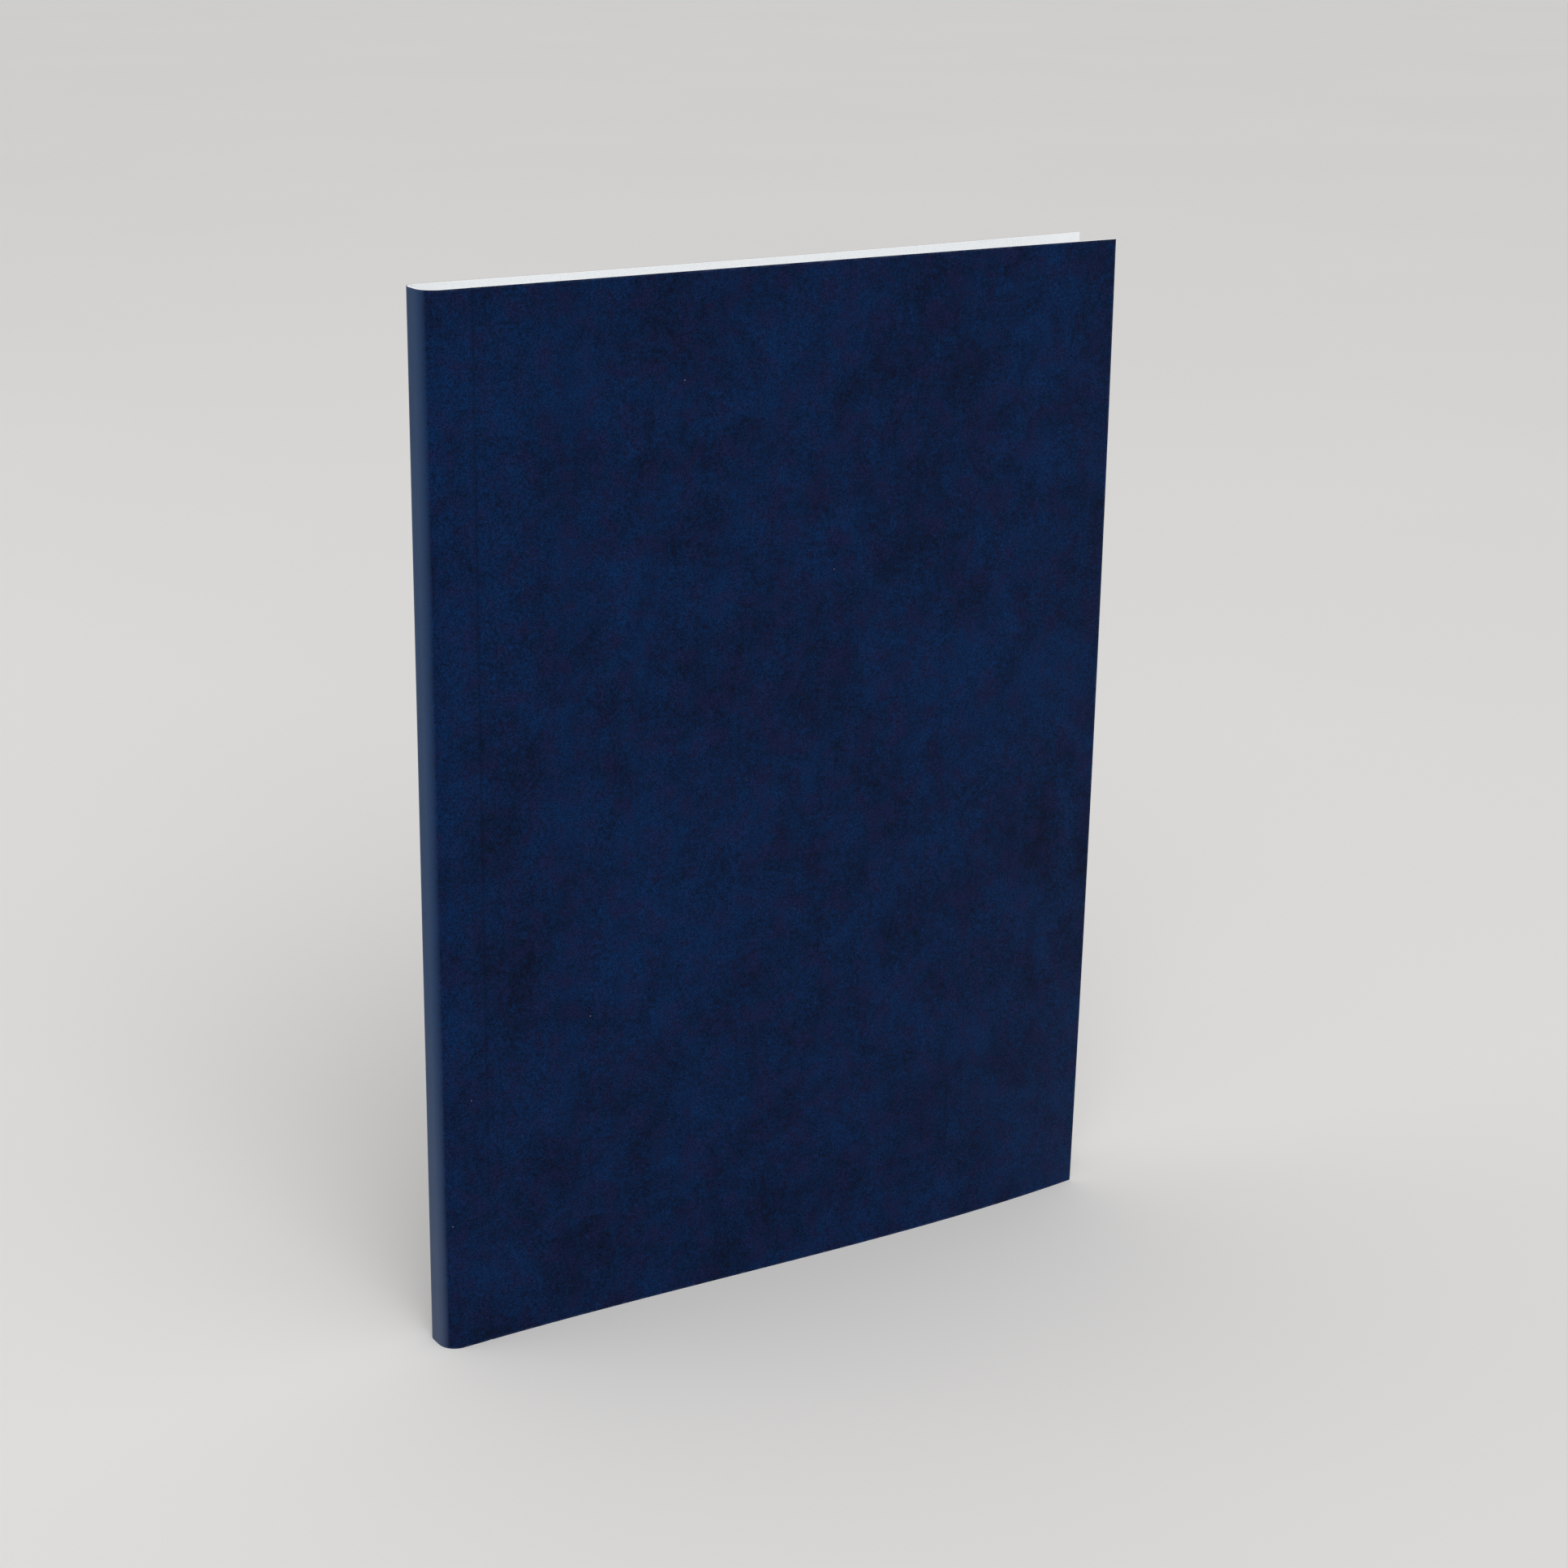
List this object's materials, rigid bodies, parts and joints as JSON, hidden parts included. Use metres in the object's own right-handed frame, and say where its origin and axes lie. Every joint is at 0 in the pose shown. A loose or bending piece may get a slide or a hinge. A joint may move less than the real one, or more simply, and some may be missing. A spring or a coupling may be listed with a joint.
{
  "type": "logbook",
  "caption": "Slim upright soft-cover logbook: dark blue leather-look cover on white card, rounded square-back spine, scored hinges, sewn sections of ruled leaves.",
  "frame": {"origin": "middle of the footprint, on the surface that the tail edges stand on", "axes": "+Z from tail to head; +X from the spine to the fore-edge; -Y out of the front cover"},
  "size_m": [0.159, 0.0128, 0.216],
  "materials": {
    "cover_skin": "satin leather-look, mottled navy",
    "cover_card": "smooth matt white",
    "leaf_paper": "uncoated matt",
    "endpaper": "uncoated matt",
    "hot_melt": "satin",
    "gauze": "open weave",
    "sewing_thread": "waxed"
  },
  "bodies": {
    "spine": {"spine_skin": "cover_skin", "spine_card": "cover_card", "spine_glue": "hot_melt", "spine_mull": "gauze", "sewing_thread_1": "sewing_thread", "sewing_thread_2": "sewing_thread", "sewing_thread_3": "sewing_thread", "sewing_thread_4": "sewing_thread", "sewing_thread_5": "sewing_thread", "sewing_thread_6": "sewing_thread", "section_1_fold": "leaf_paper", "section_2_fold": "leaf_paper", "section_3_fold": "leaf_paper", "section_4_fold": "leaf_paper", "section_5_fold": "leaf_paper", "section_6_fold": "leaf_paper", "section_7_fold": "leaf_paper", "section_8_fold": "leaf_paper", "front_endpaper_margin": "endpaper", "back_endpaper_margin": "endpaper"},
    "front_cover": {"front_cover_skin": "cover_skin", "front_cover_card": "cover_card"},
    "back_cover": {"back_cover_skin": "cover_skin", "back_cover_card": "cover_card"},
    "front_flyleaf": {"front_flyleaf": "endpaper"},
    "back_flyleaf": {"back_flyleaf": "endpaper"},
    "section_1": {"section_1_leaves": "leaf_paper"},
    "section_2": {"section_2_leaves": "leaf_paper"},
    "section_3": {"section_3_leaves": "leaf_paper"},
    "section_4": {"section_4_leaves": "leaf_paper"},
    "section_5": {"section_5_leaves": "leaf_paper"},
    "section_6": {"section_6_leaves": "leaf_paper"},
    "section_7": {"section_7_leaves": "leaf_paper"},
    "section_8": {"section_8_leaves": "leaf_paper"}
  },
  "joints": [
    {"name": "front_cover_hinge", "type": "hinge", "parent": "spine", "child": "front_cover", "pos_m": [-0.0695, -0.0046, 0.108], "axis": [0, 0, -1], "range_deg": [-0.7, 175]},
    {"name": "back_cover_hinge", "type": "hinge", "parent": "spine", "child": "back_cover", "pos_m": [-0.0695, 0.0046, 0.108], "axis": [0, 0, 1], "range_deg": [-0.7, 175]},
    {"name": "front_flyleaf_turn", "type": "hinge", "parent": "spine", "child": "front_flyleaf", "pos_m": [-0.0695, -0.00342, 0.108], "axis": [0, 0, -1], "range_deg": [-0.36, 87.7]},
    {"name": "section_1_turn", "type": "hinge", "parent": "spine", "child": "section_1", "pos_m": [-0.06925, -0.00314, 0.108], "axis": [0, 0, -1], "range_deg": [-0.3, 73.7]},
    {"name": "section_2_turn", "type": "hinge", "parent": "spine", "child": "section_2", "pos_m": [-0.0687, -0.00234, 0.108], "axis": [0, 0, -1], "range_deg": [-0.23, 56.2]},
    {"name": "section_3_turn", "type": "hinge", "parent": "spine", "child": "section_3", "pos_m": [-0.06832, -0.00154, 0.108], "axis": [0, 0, -1], "range_deg": [-0.16, 38.7]},
    {"name": "section_4_turn", "type": "hinge", "parent": "spine", "child": "section_4", "pos_m": [-0.0681, -0.00074, 0.108], "axis": [0, 0, -1], "range_deg": [-0.09, 21.2]},
    {"name": "section_5_turn", "type": "hinge", "parent": "spine", "child": "section_5", "pos_m": [-0.0681, 0.00074, 0.108], "axis": [0, 0, 1], "range_deg": [-0.09, 21.2]},
    {"name": "section_6_turn", "type": "hinge", "parent": "spine", "child": "section_6", "pos_m": [-0.06832, 0.00154, 0.108], "axis": [0, 0, 1], "range_deg": [-0.16, 38.7]},
    {"name": "section_7_turn", "type": "hinge", "parent": "spine", "child": "section_7", "pos_m": [-0.0687, 0.00234, 0.108], "axis": [0, 0, 1], "range_deg": [-0.23, 56.2]},
    {"name": "section_8_turn", "type": "hinge", "parent": "spine", "child": "section_8", "pos_m": [-0.06925, 0.00314, 0.108], "axis": [0, 0, 1], "range_deg": [-0.3, 73.7]},
    {"name": "back_flyleaf_turn", "type": "hinge", "parent": "spine", "child": "back_flyleaf", "pos_m": [-0.0695, 0.00342, 0.108], "axis": [0, 0, 1], "range_deg": [-0.36, 87.7]}
  ],
  "couplings": [
    {"joint": "front_flyleaf_turn", "follows": "front_cover_hinge", "ratio": 0.5},
    {"joint": "section_1_turn", "follows": "front_cover_hinge", "ratio": 0.42},
    {"joint": "section_2_turn", "follows": "front_cover_hinge", "ratio": 0.32},
    {"joint": "section_3_turn", "follows": "front_cover_hinge", "ratio": 0.22},
    {"joint": "section_4_turn", "follows": "front_cover_hinge", "ratio": 0.12},
    {"joint": "section_5_turn", "follows": "back_cover_hinge", "ratio": 0.12},
    {"joint": "section_6_turn", "follows": "back_cover_hinge", "ratio": 0.22},
    {"joint": "section_7_turn", "follows": "back_cover_hinge", "ratio": 0.32},
    {"joint": "section_8_turn", "follows": "back_cover_hinge", "ratio": 0.42},
    {"joint": "back_flyleaf_turn", "follows": "back_cover_hinge", "ratio": 0.5}
  ]
}
